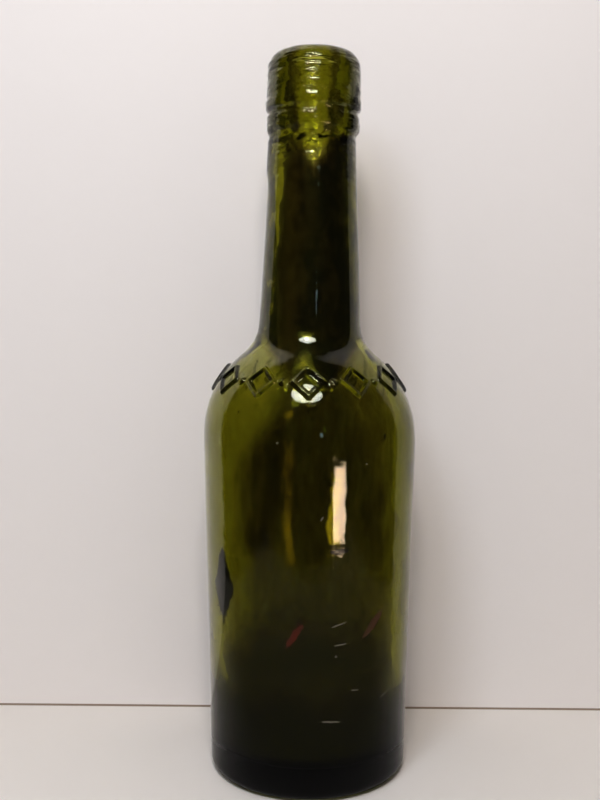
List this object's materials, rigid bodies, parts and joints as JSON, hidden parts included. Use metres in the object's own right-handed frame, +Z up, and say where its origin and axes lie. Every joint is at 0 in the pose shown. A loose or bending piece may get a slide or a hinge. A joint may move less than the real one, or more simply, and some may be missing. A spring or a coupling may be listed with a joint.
{
  "type": "bitters bottle",
  "caption": "Empty round bitters bottle in thick dark olive glass, with a tapering body, rounded shoulders with a raised band, a long neck and a heavy ringed lip.",
  "frame": {"origin": "centre of the base, on the surface that the bottle stands on", "axes": "+Z up the bottle, -Y to the front that the picture shows, +X to the right seen from the front"},
  "size_m": [0.0627, 0.0628, 0.21],
  "materials": {
    "olive_glass": "clear dark olive bottle glass, smooth and glossy with faint waves, seeds and light wear"
  },
  "bodies": {
    "root": {"bottle": "olive_glass"}
  },
  "joints": []
}
